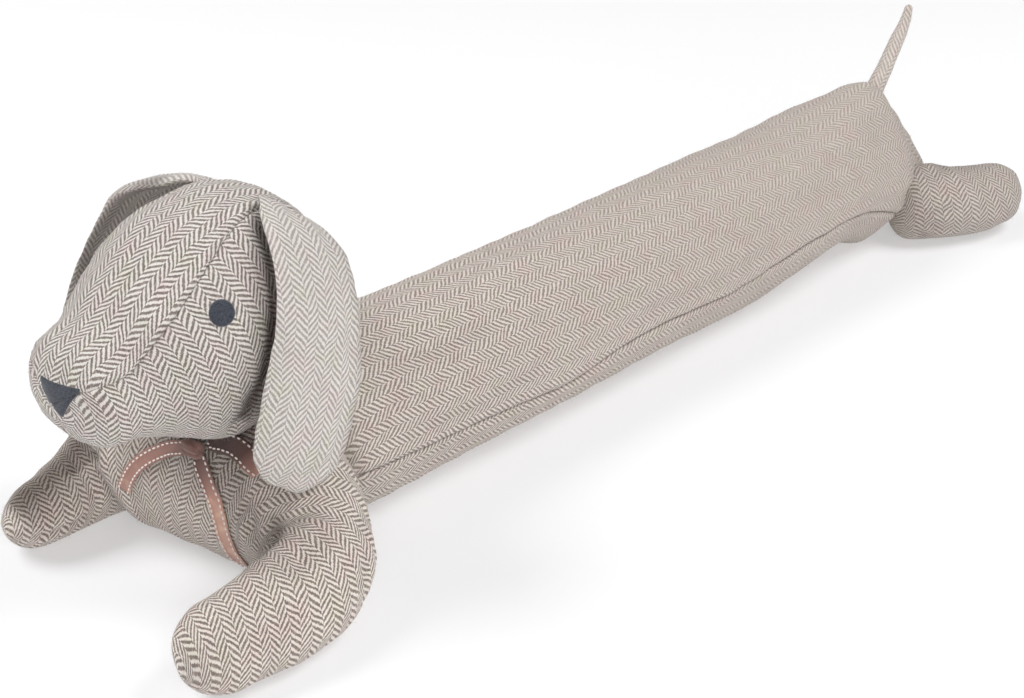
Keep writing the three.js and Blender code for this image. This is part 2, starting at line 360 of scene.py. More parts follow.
class Nodes:
    """Short calls for a material's node tree."""

    def __init__(self, name):
        self.material = bpy.data.materials.new(name)
        self.material.use_nodes = True
        self.tree = self.material.node_tree
        self.shader = self.tree.nodes["Principled BSDF"]

    def new(self, kind, inputs, **settings):
        node = self.tree.nodes.new(kind)
        for key, value in settings.items():
            setattr(node, key, value)
        for key, value in inputs.items():
            self.put(node.inputs[key], value)
        return node

    def put(self, socket, value):
        if isinstance(value, bpy.types.NodeSocket):
            self.tree.links.new(value, socket)
        else:
            socket.default_value = value

    def cloth(self):
        """The weave attribute: how far across and along the columns, and how deep in shade."""
        return self.new("ShaderNodeAttribute", {}, attribute_name="weave").outputs["Vector"]

    def split(self, vector):
        return self.new("ShaderNodeSeparateXYZ", {0: vector}).outputs

    def math(self, operation, *values, clamp=False):
        inputs = dict(enumerate(values))
        return self.new("ShaderNodeMath", inputs, operation=operation, use_clamp=clamp).outputs[0]

    def vector_math(self, operation, inputs):
        return self.new("ShaderNodeVectorMath", inputs, operation=operation).outputs[0]

    def mix(self, factor, a, b, blend="MIX"):
        inputs = {"Factor": factor, "A": a, "B": b}
        return self.new("ShaderNodeMix", inputs, data_type="RGBA", blend_type=blend).outputs["Result"]

    def noise(self, vector, scale, detail=2.0, rough=0.5):
        inputs = {"Vector": vector, "Scale": scale, "Detail": detail, "Roughness": rough}
        return self.new("ShaderNodeTexNoise", inputs)

    def step(self, value, low, high):
        inputs = {"Value": value, "From Min": low, "From Max": high}
        return self.new("ShaderNodeMapRange", inputs, interpolation_type="SMOOTHSTEP").outputs["Result"]

    def bump(self, height, distance):
        node = self.new("ShaderNodeBump", {"Height": height, "Distance": distance, "Strength": 1.0})
        self.put(self.shader.inputs["Normal"], node.outputs["Normal"])

    def finish(self, color, roughness, sheen=0.0, specular=0.2):
        self.put(self.shader.inputs["Base Color"], color)
        self.shader.inputs["Roughness"].default_value = roughness
        self.shader.inputs["Sheen Weight"].default_value = sheen
        self.shader.inputs["Specular IOR Level"].default_value = specular
        return self.material


CREAM = (0.92, 0.885, 0.85, 1)
DARK = (0.15, 0.124, 0.112, 1)
SHADE = (0.70, 0.65, 0.61, 1)      # where a light thread dips
BROWN = (0.33, 0.275, 0.24, 1)     # the palest of the dark threads
PINK = (1.0, 0.94, 0.95, 1)        # faint tints of broad patches
GREEN = (0.965, 0.975, 0.92, 1)
PAINTED_SHADE_COLOR = (0.20, 0.17, 0.155, 1)      # the cloth's colour where painted shade is deepest: in folds, seams and gaps, and under the head
MIDTONE = (0.50, 0.46, 0.43, 1)    # of light and dark threads together
DARK_SHARE = 0.50                  # of each repeat of the twill
STROKE_EDGES = (-0.09, 0.10)       # how soft the edge of a dark stroke is, as shares of a repeat
STROKE_SLANT = 0.75                # how far a stroke rises within one thread's width, in threads
WANDER = 4.0                       # how far the threads stray from straight lines
UNEVEN = 2.4                       # how far the strokes are shifted at random, in threads
BROWN_GAPS = 0.22                  # how much browner the cloth is between its threads
TWEED_BUMP = 0.0004                # in metres, as the other bumps


def tweed(name, tone=(1, 1, 1, 1), contrast=1.0, fade=None):
    """Two-and-two twill that turns back at every column, with uneven threads.

    tone tints the whole cloth, and in some copies it also paints light or shade on a whole piece. contrast
    tells how far its dark threads stand out. fade, if given, is from where to where along the cloth all
    threads draw nearer to one tone, and by how much. The weave attribute's third value paints shade.
    """
    n = Nodes(name)
    cloth = n.cloth()
    wander = n.noise(cloth, 0.06, 2.0).outputs["Color"]
    centred = n.vector_math("SUBTRACT", {0: wander, 1: (0.5, 0.5, 0.5)})
    offset = n.vector_math("SCALE", {0: centred, "Scale": WANDER})
    split = n.split(n.vector_math("ADD", {0: cloth, 1: offset}))
    across = n.math("DIVIDE", split["X"], YARN)
    along = n.math("DIVIDE", split["Y"], YARN)
    thread = n.math("FLOOR", across)
    repeat = 2.0 * COLUMN_YARNS
    in_repeat = n.math("FLOORED_MODULO", thread, repeat)
    second = n.math("GREATER_THAN", in_repeat, COLUMN_YARNS - 0.5)
    rising = n.math("SUBTRACT", in_repeat, n.math("MULTIPLY", second, float(COLUMN_YARNS)))
    falling = n.math("SUBTRACT", COLUMN_YARNS + 1.0, rising)
    zigzag = n.math("ADD", n.math("MULTIPLY", rising, n.math("SUBTRACT", 1.0, second)),
                    n.math("MULTIPLY", falling, second))
    slope = n.math("SUBTRACT", n.math("FRACT", across), 0.5)
    turn = n.math("SUBTRACT", 1.0, n.math("MULTIPLY", second, 2.0))
    zigzag = n.math("ADD", zigzag, n.math("MULTIPLY", n.math("MULTIPLY", slope, turn), STROKE_SLANT))
    on_thread = n.new("ShaderNodeCombineXYZ", {"X": thread, "Y": n.math("MULTIPLY", along, 0.35)}).outputs[0]
    fibres = n.noise(on_thread, 0.9, 2.0, 0.6).outputs["Fac"]
    coarse = n.noise(cloth, 0.8, 2.0, 0.6).outputs["Fac"]
    uneven = n.math("MULTIPLY", n.math("SUBTRACT", coarse, 0.5), UNEVEN)
    place_in_twill = n.math("ADD", n.math("ADD", along, zigzag), uneven)
    phase = n.math("FRACT", n.math("DIVIDE", place_in_twill, TWILL_YARNS))
    centre = n.math("ABSOLUTE", n.math("SUBTRACT", phase, 0.5))
    light = n.step(centre, DARK_SHARE / 2 + STROKE_EDGES[0], DARK_SHARE / 2 + STROKE_EDGES[1])
    ridge = n.math("SINE", n.math("MULTIPLY", n.math("FRACT", across), math.pi))
    fine = n.noise(cloth, 2.6, 3.0, 0.7).outputs["Fac"]
    cream = n.mix(n.step(fine, 0.36, 0.60), SHADE, CREAM)
    dark = n.mix(n.step(fibres, 0.42, 0.72), DARK, BROWN)
    color = n.mix(light, n.mix(contrast, cream, dark), cream)
    if fade:
        start, end, amount = fade
        color = n.mix(n.math("MULTIPLY", n.step(split["Y"], start, end), amount), color, MIDTONE)
    edge = n.math("MULTIPLY", n.math("SUBTRACT", 1.0, ridge), BROWN_GAPS)
    color = n.mix(edge, color, BROWN)
    color = n.mix(n.math("MULTIPLY", n.step(fine, 0.58, 0.78), 0.5), color, CREAM)
    tint = n.noise(cloth, 0.045, 3.0, 0.6).outputs["Fac"]
    color = n.mix(n.step(tint, 0.46, 0.66), color, n.mix(1.0, color, PINK, "MULTIPLY"))
    color = n.mix(n.step(tint, 0.47, 0.33), color, n.mix(1.0, color, GREEN, "MULTIPLY"))
    color = n.mix(1.0, color, tone, "MULTIPLY")
    # painted shade: the weave attribute's third value darkens the cloth as if deep in shade
    color = n.mix(n.split(cloth)["Z"], color, n.mix(1.0, color, PAINTED_SHADE_COLOR, "MULTIPLY"))
    relief = n.math("ADD", n.math("MULTIPLY", light, ridge), n.math("MULTIPLY", fine, 0.6))
    n.bump(relief, TWEED_BUMP)
    return n.finish(color, 0.95, sheen=0.15)


def plain(name, color, roughness, scale, distance, spread=0.25, sheen=0.0):
    """A plain surface with a fine uneven grain in object space, scale in grains per metre."""
    n = Nodes(name)
    place_at = n.new("ShaderNodeTexCoord", {}).outputs["Object"]
    grain_noise = n.noise(place_at, scale, 4.0, 0.65).outputs["Fac"]
    darker = tuple(c * (1 - spread) for c in color[:3]) + (1,)
    lighter = tuple(min(1, c * (1 + spread)) for c in color[:3]) + (1,)
    n.bump(grain_noise, distance)
    return n.finish(n.mix(n.step(grain_noise, 0.3, 0.7), darker, lighter), roughness, sheen)


SATIN_THREAD = 0.45        # from one thread of the satin to the next
SATIN_BUMP = 0.00006


def satin(name, color, dark, painted_sheen):
    """Satin ribbon: fine threads across its length, a soft shine, a painted sheen in paler patches and
    painted shade in darker stretches.
    """
    n = Nodes(name)
    cloth = n.cloth()
    split = n.split(cloth)
    threads = n.math("SINE", n.math("MULTIPLY", split["Y"], 2 * math.pi / SATIN_THREAD))
    patches = n.noise(cloth, 0.09, 2.0).outputs["Fac"]
    # painted sheen: paler in patches and where the weave's third value is below 0
    shine = n.math("SUBTRACT", n.step(patches, 0.42, 0.72), split["Z"], clamp=True)
    sheen_and_shade = n.mix(shine, color, painted_sheen)
    # painted shade where that value is above 0
    sheen_and_shade = n.mix(split["Z"], sheen_and_shade, dark)
    n.bump(threads, SATIN_BUMP)
    return n.finish(sheen_and_shade, 0.38, sheen=0.2, specular=0.5)


def dress(obj, material, slot, *nodes):
    """Gives a piece its material and its place on the one body, and hides the CAD nodes that it replaces.
    slot is not used.
    """
    obj.data.materials.append(material)
    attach(obj, "root")
    if nodes:
        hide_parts(*nodes)


# towards the tail the camera sees the threads less well: from where to where, and by how much
BODY_FADE = (100.0, 600.0, 0.45)

# copies of one tweed whose tones partly paint light and shade: the legs' copy lighter, the hind feet's
# darker
HEAD_TWEED = tweed("herringbone_tweed", (1.0, 1.0, 1.0, 1), contrast=0.98)
EAR_TWEED = tweed("herringbone_tweed_ear", (0.97, 0.975, 0.975, 1), contrast=0.72)
BODY_TWEED = tweed("herringbone_tweed_body", (0.97, 0.935, 0.905, 1), contrast=0.9, fade=BODY_FADE)
LEG_TWEED_LIT = tweed("herringbone_tweed_leg_lit", (1.03, 0.995, 0.965, 1), contrast=0.98)
TAIL_TWEED = tweed("herringbone_tweed_tail", (0.92, 0.89, 0.86, 1), contrast=0.6)
FOOT_TWEED_SHADED = tweed("herringbone_tweed_foot_shaded", (0.82, 0.79, 0.765, 1), contrast=0.8)
FELT_DARK = plain("dark_felt", (0.045, 0.05, 0.064, 1), 0.95, 900.0, 0.0003, 0.45, sheen=0.3)
# after the base colour: the colour of painted shade, then that of the painted sheen
SATIN = satin("satin_ribbon", (0.50, 0.25, 0.195, 1), (0.07, 0.032, 0.027, 1), (0.68, 0.43, 0.31, 1))
THREAD = plain("stitch_thread", (0.82, 0.74, 0.70, 1), 0.7, 2500.0, 0.00008, 0.1)
FUZZ = plain("loose_fibres", (0.62, 0.58, 0.54, 1), 0.9, 60.0, 0.0, 0.5)

# Body: a long tube of an upper panel and a belly panel, drawn to a corner under the tail

BODY_ROWS = [
    # x, y, z, wide, tall
    (-352, 0, 60, 58, 60),
    (-300, 0, 61, 65, 64),
    (-150, 0, 60, 65, 63),
    (0, 0, 60, 64, 63),
    (100, 0, 60, 64, 63.5),
    (165, 0, 64, 62.5, 60),
    (222, 0, 69, 60, 57),
    (262, 0, 67, 58, 62.5),
    (292, 0, 63, 57, 70),
    (318, 0, 57, 50, 52),
    (342, 0, 47, 43, 40),
    (362, 0, 32, 34, 31),
]
RIDGE = (240.0, 320.0, 0.55)     # where the top starts and ends to narrow towards the tail, and by how much
BODY_PANELS = (104, 56)          # points of a ring on the upper panel and on the belly panel
# where the seam on the near side lies: x, z
BODY_SEAM = [
    (-352, 51), (-300, 51), (-254, 47), (-223, 45), (-185, 44), (-135, 40.5), (-115, 41.5),
    (-75, 48), (-24, 50), (11, 49), (58, 46), (80, 49), (102, 52.5), (150, 57),
    (203, 57), (239, 51), (267, 42.5), (290, 34.5), (320, 22), (342, 12), (365, 4),
]
STEEPEST_SEAM = 0.85             # how low the seam may lie, as a share of the section's half height
PUCKER_PITCH = 9.0               # of the gathers along the body's seams
SEAM_SHADE = {"body": 0.75, "head": 0.5}
# path in x, y, z, depth and half width
BODY_CREASES = [
    ([(285, -58, 40), (310, -60, 52), (336, -50, 60)], 2.2, 5.0),
    ([(325, -30, 8), (318, -46, 18), (312, -58, 34)], 2.0, 3.5),
    ([(-292, -40, 110), (-240, -48, 104), (-180, -46, 106)], 0.9, 7.0),
    ([(-296, -64, 70), (-240, -66, 62), (-150, -66, 66)], 0.9, 6.0),
    ([(-60, -62, 74), (30, -64, 66), (120, -62, 70)], 0.6, 8.0),
    ([(240, 10, 122), (290, -12, 117), (322, -24, 98)], 0.9, 6.0),
]
BODY_CREASE_SHADE = 0.10         # for each millimetre of depth
# middle, radii and depth: where the cloth is stretched straight between the tail and the hind leg, and
# where the belly is drawn up in front of the hind leg
BODY_DENTS = [
    (np.array([352.0, -22.0, 70.0]), (24, 24, 20), 6.5),
    (np.array([298.0, -46.0, 8.0]), (24, 22, 18), 6.0),
]
# where the near hind leg leaves the body
HIP_JOINT = [(352, -20, 66), (348, -46, 60), (334, -62, 44), (318, -64, 26), (306, -58, 8)]


def body():
    at, _, middles, _, talls = zip(*BODY_ROWS)

    def borders(x):
        z = np.interp(x, *zip(*BODY_SEAM))
        middle, tall = np.interp(x, at, middles), np.interp(x, at, talls)
        drop = math.degrees(math.asin(max(-STEEPEST_SEAM, min(STEEPEST_SEAM, (middle - z) / tall))))
        return -drop, 180 + drop

    form = Loft(BODY_ROWS, (30, 12), 300, BODY_PANELS, borders, flat=True, ridge=RIDGE)
    near_seam, far_seam = form.grid[:, BODY_PANELS[0]].copy(), form.grid[:, 0].copy()

    def relief(p, s):
        total = lumps(p, "body", BODY_STRETCH) * smooth(0, 14, p[:, 2])
        pucker = 1 + 0.35 * np.sin(2 * np.pi * s / PUCKER_PITCH)
        for seam in (near_seam, far_seam):
            total += seam_groove(p, seam[::6], 1.6, 0.6 * pucker, 5, 2.8)
        for path, depth, width in BODY_CREASES:
            total += crease(p, path, depth, width)
        for side in (-1, 1):
            for middle, radii, depth in BODY_DENTS:
                total += dent(p, middle * (1, side, 1), radii, depth)
        return total

    form.displace(relief)
    form.shade[:, [0, BODY_PANELS[0]]] = SEAM_SHADE["body"]
    for path, depth, width in BODY_CREASES:
        form.paint_shade(path, width, BODY_CREASE_SHADE * depth)
    # painted shade where the hind leg meets the body
    form.paint_shade(HIP_JOINT, 7.0, 0.55)
    obj = form.mesh("body_cloth", (grain(0, 1.2), grain(0, 3.1, 2.0)))
    dress(obj, BODY_TWEED, "herringbone_tweed", "body")
    return obj


# Front legs: one crescent cushion that is the chest in the middle and a paw at each end

LEG_ROWS = [
    # x, y, z, wide, tall, lean
    (-505, 87, 22, 17, 22, 34),
    (-480, 88, 24, 20, 25, 34),
    (-448, 90, 29, 25, 32, 32),
    (-418, 86, 39, 33, 41, 24),
    (-402, 60, 49, 43, 51, 10),
    (-390, 24, 55, 46, 57, 2),
    (-384, -24, 55, 46, 57, 2),
    (-384, -66, 48, 42, 49, 10),
    (-398, -101, 37, 31, 37, 24),
    (-432, -117, 32, 26, 34, 32),
    (-480, -117, 29, 22, 30, 34),
    (-524, -116, 27, 19, 27, 34),
]
LEG_CREASES = [
    ([(-426, -58, 78), (-434, -72, 58), (-439, -83, 40), (-437, -92, 20)], 7.5, 6.5),
    ([(-418, -82, 74), (-430, -92, 57), (-448, -98, 50)], 3.6, 5.0),
    ([(-440, 62, 66), (-452, 70, 58), (-462, 78, 50)], 4.0, 3.5),
    ([(-452, 70, 22), (-470, 68, 22), (-500, 70, 20)], 2.2, 3.5),
    ([(-400, -140, 30), (-380, -132, 48), (-368, -110, 66)], 1.4, 6.0),
    ([(-402, -118, 72), (-424, -122, 66), (-452, -126, 56)], 1.2, 7.0),
]
# where the head keeps the light away: path, half width, amount
LEG_SHADE = [
    ([(-428, 78, 78), (-455, 84, 62), (-480, 84, 50), (-505, 84, 40)], 18.0, 0.85),
    ([(-410, 50, 90), (-428, 10, 84), (-424, -34, 88), (-410, -60, 88)], 28.0, 0.5),
]
LEG_CREASE_SHADE = 0.11     # for each millimetre of depth
DEEPEST_CREASE_SHADE = 0.75


def one_seam_below(x):
    """Borders of cloth in one piece that meets itself on the underside."""
    return -95, 262


def front_legs():
    form = Loft(LEG_ROWS, (26, 32), 260, (138, 2), one_seam_below, fullness=2.2, flat=True)

    def relief(p, s):
        total = lumps(p, "front_legs") * smooth(0, 12, p[:, 2])
        for path, depth, width in LEG_CREASES:
            total += crease(p, path, depth, width)
        return total

    form.displace(relief)
    for path, depth, width in LEG_CREASES:
        form.paint_shade(path, 1.1 * width, min(DEEPEST_CREASE_SHADE, LEG_CREASE_SHADE * depth))
    for path, width, amount in LEG_SHADE:
        form.paint_shade(path, width, amount)
    obj = form.mesh("front_legs_cloth", (grain(-76), grain(-76)))
    dress(obj, LEG_TWEED_LIT, "herringbone_tweed", "front_legs")
    return obj


# Head: a centre gusset between two side panels, broad at the cheeks and drawn in to the snout

HEAD_ROWS = [
    (-312, 0, 177, 56, 54),
    (-340, 0, 177, 67, 66),
    (-385, -1, 176, 70, 78),
    (-420, -3, 172, 67.5, 76),
    (-450, -4, 168, 57.5, 60),
    (-480, -4.5, 163, 44.5, 41),
    (-519, -5.5, 158.5, 39, 31.5),
]
# where the ears' front edges press on the cheeks
EAR_FOLD = np.array([
    (-381, 32, 247), (-382, 42, 240), (-385, 51, 230), (-390, 59.5, 218), (-394.5, 65, 205), (-400, 68, 188),
    (-404, 68, 174), (-408.5, 66.5, 160), (-415, 65.5, 147.5), (-417, 59, 133), (-420, 52.5, 122),
])
CHEEK_PRESS = (3.5, 5.5)     # depth and half width
# along the whole fold and along its lower part, where the gap is wider: first point, half width
EAR_FOLD_SHADES = ((0, 4.2), (4, 7.5))
# how high the gusset's seams lie round the head, in degrees up from the side: x, angle
GUSSET = [
    (-517, 48), (-510, 35), (-499, 31), (-484, 29), (-478, 33), (-465, 37.5),
    (-441, 46), (-424, 51.5), (-404, 59), (-383, 65), (-345, 73), (-308, 78),
]
HEAD_PANELS = (60, 60, 60)     # points of a ring on the gusset and on the two side panels
HEAD_SEAMS = [0, 60, 120]


def head():
    def borders(x):
        up = np.interp(x, *zip(*GUSSET))
        return up, 180 - up, 270

    form = Loft(HEAD_ROWS, (44, 22), 190, HEAD_PANELS, borders, fullness=2.1)
    seams = [form.grid[:, k].copy() for k in HEAD_SEAMS]

    def relief(p, s):
        total = lumps(p, "head")
        for seam in seams:
            total += seam_groove(p, seam[::5], 1.2, 0.45, 4, 2.5)
        for side in (-1, 1):
            d, along = distance_to(p, EAR_FOLD * (1, side, 1))
            total -= CHEEK_PRESS[0] * smooth(0, 0.2, along) * bell(d, CHEEK_PRESS[1])
        return total

    form.displace(relief)
    form.shade[:, HEAD_SEAMS] = SEAM_SHADE["head"]
    for side in (-1, 1):
        for first, width in EAR_FOLD_SHADES:
            form.paint_shade(EAR_FOLD[first:] * (1, side, 1), width, 1.0)
    obj = form.mesh("head_cloth", (grain(0), grain(97.0), grain(-97.0)))
    dress(obj, HEAD_TWEED, "herringbone_tweed", "head")
    return obj


# Ears: soft two-layer flaps that hang from the crown over the cheeks

# as if both were on the same side: the far ear stands further out
EAR_ROWS = {
    "left": [
        (-360, 26, 240, 18, 4),
        (-365, 50, 243, 21, 4.5),
        (-372, 72, 230, 25, 4.5),
        (-378, 86, 204, 29, 5),
        (-387, 92, 165, 34, 5),
        (-401, 95, 125, 35, 5),
        (-414, 95, 92, 24, 4),
    ],
    "right": [
        (-360, 26, 240, 18, 4),
        (-366, 50, 239, 21, 4.5),
        (-373, 84, 226, 25, 4.5),
        (-382, 99, 200, 29, 5),
        (-393, 109, 161, 34, 5),
        (-404, 113, 122, 35, 5),
        (-414, 113, 89, 24, 4),
    ],
}
# where the far ear lies in the head's shade
EAR_SHADE = [
    (-378, 45, 243), (-388, 62, 236), (-396, 76, 222), (-405, 86, 204), (-413, 93, 182), (-420, 96, 160),
]
SIDES = {"left": -1, "right": 1}
EAR_FACE = 50                                  # points of a ring on each face of an ear
FRONT_RIM = {"left": 0, "right": EAR_FACE}     # which line of points runs along the front edge
RIM_INSET = 5                                  # lines of points from the front edge to the dip behind it


def two_faces(x):
    """Borders of a form of two equal panels."""
    return 0, 180


def ear(name):
    side = SIDES[name]
    rows = [(x, side * y, z, w, t) for x, y, z, w, t in EAR_ROWS[name]]
    form = Loft(rows, (10, 18), 150, (EAR_FACE, EAR_FACE), two_faces, facing=(0, side, 0.35), bend=3.0)

    rim = form.grid[:, FRONT_RIM[name]].copy()

    def relief(p, s):
        d, along = distance_to(p, rim[::4])
        roll = smooth(0.12, 0.3, along) * (2.2 * bell(d, 5.0) - 1.2 * bell(d - 11, 3.0))
        return lumps(p, "ear") + roll

    form.displace(relief)
    # painted shade in the dip behind the rolled front edge
    form.paint_shade(form.grid[::4, FRONT_RIM[name] - side * RIM_INSET], 5.0, 0.3)
    if name == "right":
        form.paint_shade(EAR_SHADE, 9.0, 0.75)
    obj = form.mesh(f"ear_{name}_cloth", (grain(0, 1.0), grain(0, 3.0)))
    dress(obj, EAR_TWEED, "herringbone_tweed", f"ear_{name}")
    return obj


# Hind legs: mittens that point out and back from the rump's lower corners

HIND_ROWS = [
    (304, 32, 34, 26, 33),
    (336, 56, 31, 32, 31),
    (368, 73, 28, 32, 28),
    (413, 90, 32, 20.5, 23.5),
]
HIND_MIDDLE = (60, 32)       # y and z of the line that the gathers turn about
GATHERS = (9, 1.2, 34, 12)   # how many, how deep, how far along the leg and how long


def hind_leg(name):
    side = SIDES[name]
    rows = [(x, side * y, z, w, t) for x, y, z, w, t in HIND_ROWS]
    form = Loft(rows, (20, 26), 90, (98, 2), one_seam_below, flat=True)

    def relief(p, s):
        total = lumps(p, "hind_leg") * smooth(0, 10, p[:, 2])
        turn = np.arctan2(p[:, 2] - HIND_MIDDLE[1], p[:, 1] - side * HIND_MIDDLE[0])
        count, depth, at, length = GATHERS
        return total - depth * np.sin(turn * count) * bell(s - at, length) * smooth(4, 16, p[:, 2])

    form.displace(relief)
    # painted shade where the leg meets the body
    form.paint_shade(np.array(HIP_JOINT) * (1, -side, 1), 8.0, 0.7)
    obj = form.mesh(f"hind_leg_{name}_cloth", (grain(80), grain(80)))
    dress(obj, FOOT_TWEED_SHADED, "herringbone_tweed", f"hind_leg_{name}")
    return obj


# Tail: a thin cone that leans back

TAIL_ROWS = [
    (306, 0, 102, 9, 9),
    (317, 0, 123, 7.5, 7.5),
    (332, 0, 143, 6.6, 6.6),
    (343, 0, 158, 6, 6),
    (354, 0, 175, 4.5, 4.5),
    (358, 0, 187, 3.2, 3.2),
]


def tail():
    form = Loft(TAIL_ROWS, (3, 4), 80, (20, 20), two_faces, facing=(1, 0, 0))
    form.displace(lambda p, s: 0.25 * ripple(p, 14, SEED + 10))
    obj = form.mesh("tail_cloth", (grain(0), grain(0)))
    dress(obj, TAIL_TWEED, "herringbone_tweed", "tail")
    return obj


# Felt and ribbon, which lie on the filled pieces

class Surface:
    """Finds places on an object's mesh, in the dog frame."""

    def __init__(self, obj):
        verts = [tuple(v.co) for v in obj.data.vertices]
        polygons = [tuple(p.vertices) for p in obj.data.polygons]
        self.tree = BVHTree.FromPolygons(verts, polygons)

    def towards(self, start, direction):
        hit, normal, _, _ = self.tree.ray_cast(Vector(place(start)), Vector(direction).normalized())
        return np.array(hit) / MM + MIDDLE, np.array(normal)


FELT_SUNK = 0.4              # how far the felt's underside lies below the cloth


def felt_patch(name, surface, outline, start, direction, sideways, upwards, node):
    """A felt piece with an even thickness and a softly rounded edge.

    outline is in the directions sideways and upwards from start, and each point goes along direction
    until it meets the surface.
    """
    rings = 10
    lift = [FELT * math.sqrt(max(0.0, 1 - (n / rings) ** 8)) for n in range(rings + 1)]
    outline = np.array(outline)
    middle = outline.mean(0)
    verts, faces = [], []
    count = len(outline)

    def on_surface(q, height):
        at = start + q[0] * np.array(sideways) + q[1] * np.array(upwards)
        hit, normal = surface.towards(at, direction)
        return hit + normal * height

    verts.append(on_surface(middle, lift[0]))
    for n in range(1, rings + 1):
        for q in outline:
            verts.append(on_surface(middle + (q - middle) * n / rings, lift[n]))
    for q in outline:
        verts.append(on_surface(middle + (q - middle) * 0.98, -FELT_SUNK))
    verts.append(on_surface(middle, -FELT_SUNK))
    last = len(verts) - 1
    for k in range(count):
        nxt = (k + 1) % count
        faces.append((0, 1 + k, 1 + nxt))
        for n in range(rings):
            a, b = 1 + n * count, 1 + (n + 1) * count
            faces.append((a + k, b + k, b + nxt, a + nxt))
        a = 1 + rings * count
        faces.append((last, a + nxt, a + k))
    dress(build(name, np.array(verts), faces), FELT_DARK, "dark_felt", node)


EYE_AT = (-430.0, 58.0, 207.0)
EYE_RADIUS = 8.2
EYE_OUTWARD = np.array([-0.35, 1.0, 0.3])
EYE_POINTS = 48
EYE_CLEAR = 30               # from EYE_AT outwards, to where the rays towards the head start
NOSE_OUTLINE = [(-29.2, 177.3), (-14.8, 154), (5, 175.5)]     # y and z of its corners
NOSE_ROUNDING = 1.6          # how far from a corner the outline starts to turn


def eye(name, surface):
    side = SIDES[name]
    outward = unit(EYE_OUTWARD * (1, side, 1))
    sideways = unit(np.cross((0, 0, 1), outward))
    upwards = np.cross(outward, sideways)
    turns = 2 * np.pi * np.arange(EYE_POINTS) / EYE_POINTS
    outline = [(EYE_RADIUS * math.cos(a), EYE_RADIUS * math.sin(a)) for a in turns]
    start = np.array(EYE_AT) * (1, side, 1) + EYE_CLEAR * outward
    felt_patch(f"eye_{name}_felt", surface, outline, start, -outward, sideways, upwards, f"eye_{name}")


def nose(surface):
    corners = np.array(NOSE_OUTLINE, float)
    outline = []

    def near(corner, other):
        return corner + unit(other - corner) * NOSE_ROUNDING

    for n in range(3):
        before, at, after = corners[n - 1], corners[n], corners[(n + 1) % 3]
        a, b, far = near(at, before), near(at, after), near(after, at)
        for t in np.linspace(0, 1, 5):
            outline.append((1 - t) ** 2 * a + 2 * t * (1 - t) * at + t ** 2 * b)
        for t in np.linspace(0, 1, 14)[1:-1]:
            outline.append(b + (far - b) * t)
    start = np.array([IN_FRONT, 0, 0])
    felt_patch("nose_felt", surface, outline[::-1], start, (1, 0, 0), (0, 1, 0), (0, 0, 1), "nose")


RIBBON_CELLS = 14            # faces across a ribbon
RIBBON_CROWN = 0.5           # how much a ribbon's middle stands above its edges


def strip(name, path, sideways, width, node, shade):
    """A ribbon of even thickness: path and sideways hold its middle line and its direction across.

    shade holds how dark it is at even steps along it: 1 is deep shade, and below 0 it shines.
    Returns the stitches along its two edges: the middle, the way along and the way up of each.
    """
    sideways = unit(sideways)
    along = np.gradient(path, axis=0)
    normal = unit(np.cross(along, sideways))
    run = run_along(path)
    tone = np.interp(run / run[-1], np.linspace(0, 1, len(shade)), shade)
    lines, weave_rows = [], []
    offsets = np.linspace(-0.5, 0.5, RIBBON_CELLS + 1)
    for side in (0.5, -0.5):
        for q in offsets if side > 0 else offsets[::-1]:
            crown = RIBBON_CROWN * (1 - (2 * q) ** 2)
            lines.append(path + sideways * (q * width)[:, None] + normal * (side * RIBBON_THICK + crown))
            weave_rows.append(q * width)
    ring = len(lines)
    verts = np.stack(lines, axis=1).reshape(-1, 3)
    faces, weave = [], []
    for r in range(len(path) - 1):
        for k in range(ring):
            n = (k + 1) % ring
            a, b = r * ring, (r + 1) * ring
            faces.append((a + k, a + n, b + n, b + k))
            corners = ((k, r), (n, r), (n, r + 1), (k, r + 1))
            weave += [(weave_rows[j][i], run[i], tone[i]) for j, i in corners]
    for r, flip in ((0, True), (len(path) - 1, False)):
        for q in range(RIBBON_CELLS):
            a, b = r * ring + q, r * ring + ring - 1 - q
            faces.append((a, a + 1, b - 1, b) if flip else (a, b, b - 1, a + 1))
            weave += [(0, run[r], tone[r])] * 4
    obj = build(name, verts, faces, weave)
    dress(obj, SATIN, "satin_ribbon", node)
    stitches = []
    height = RIBBON_THICK / 2 + STITCH_LIFT

    def place_along(s, values):
        return np.array([np.interp(s, run, values[:, c]) for c in range(3)])

    for edge in (-1, 1):
        edge_line = sideways * (edge * (width / 2 - STITCH_INSET))[:, None]
        for s in np.arange(STITCH_PITCH / 2, run[-1], STITCH_PITCH):
            at = place_along(s, path) + place_along(s, edge_line)
            up = place_along(s, normal)
            ahead = place_along(s, along)
            for face in (1, -1):
                stitches.append((at + up * face * height, ahead, up * face))
    return stitches


SPREAD_STEPS = 60
GATHER_LENGTH = 8.0          # how soon a ribbon reaches its full width
GATHERED = 0.55              # share of its width where it starts


def spread(surface, points, width, lift):
    """A ribbon's middle line on the surface behind the points, which are y and z, seen from the front.

    lift(t) is how far it is held off the surface. Returns the line, the directions across it and its widths.
    """
    t = np.linspace(0, 1, SPREAD_STEPS)
    flat = curve_at([(0, y, z) for y, z in points], t)
    along = unit(np.gradient(flat, axis=0))
    across = np.stack([np.zeros(SPREAD_STEPS), -along[:, 2], along[:, 1]], axis=1)
    path, sideways = [], []
    for n in range(SPREAD_STEPS):
        edge = []
        for q in (-1, 0, 1):
            at = flat[n] + q * across[n] * width * 0.42
            edge.append(surface.towards((IN_FRONT, at[1], at[2]), (1, 0, 0)))
        hit = (edge[0][0] + edge[1][0] * 2 + edge[2][0]) / 4
        path.append(hit + edge[1][1] * lift(t[n]))
        sideways.append(edge[2][0] - edge[0][0])
    path = np.array(path)
    for _ in range(6):
        path[1:-1] = (path[:-2] + 2 * path[1:-1] + path[2:]) / 4
    wide = width * (GATHERED + (1 - GATHERED) * smooth(0, GATHER_LENGTH, run_along(path)))
    return path, np.array(sideways), wide
